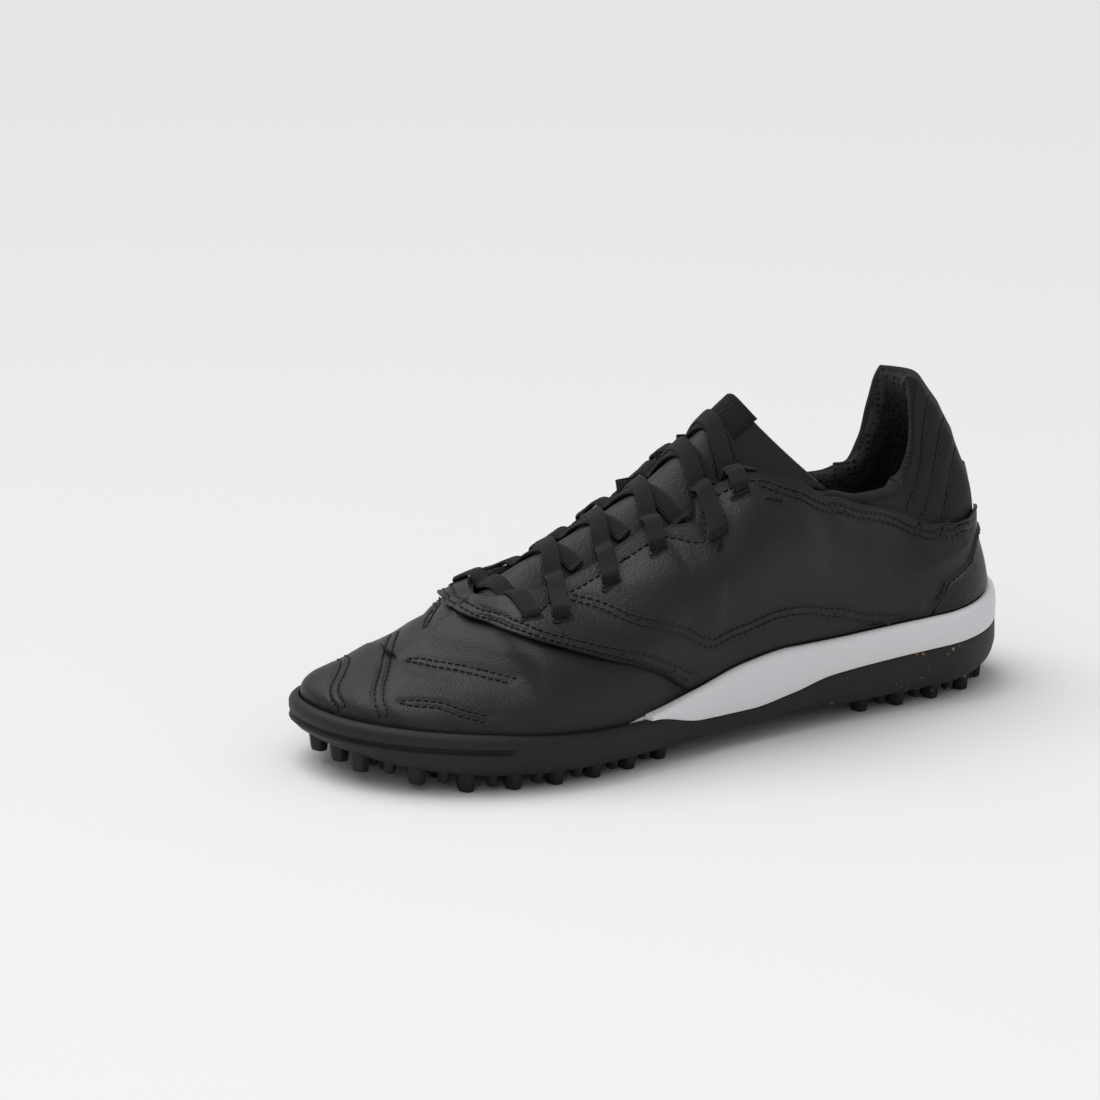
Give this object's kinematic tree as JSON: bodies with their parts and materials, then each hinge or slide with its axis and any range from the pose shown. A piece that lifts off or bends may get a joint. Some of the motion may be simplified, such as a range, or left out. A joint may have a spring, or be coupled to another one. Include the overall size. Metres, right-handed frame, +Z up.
{
  "type": "turf shoe",
  "caption": "Low-cut leather-look turf shoe for the left foot, with a padded collar, lacing over a tongue, a foam midsole and a studded rubber outsole.",
  "frame": {"origin": "middle of the bounding box at the floor, under the arch", "axes": "+Z up, toe to -X, heel to +X, the outer (lateral) side to -Y"},
  "size_m": [0.228, 0.0854, 0.0962],
  "materials": {
    "rubber": "matt moulded rubber",
    "foam": "white moulded foam",
    "leather": "soft black synthetic leather with a fine grain and a low sheen",
    "textile": "black knitted lining and woven label",
    "lace": "black flat woven lace"
  },
  "bodies": {
    "root": {"outsole": "rubber", "midsole": "foam", "insole": "textile", "upper": "leather", "saddle": "leather", "heel_counter": "leather", "back_strip": "leather", "tongue": "leather", "tongue_label": "textile", "lace_bar": "lace", "lace_cross_1": "lace", "lace_cross_2": "lace", "lace_cross_3": "lace", "lace_cross_4": "lace", "lace_cross_5": "lace"}
  },
  "joints": []
}
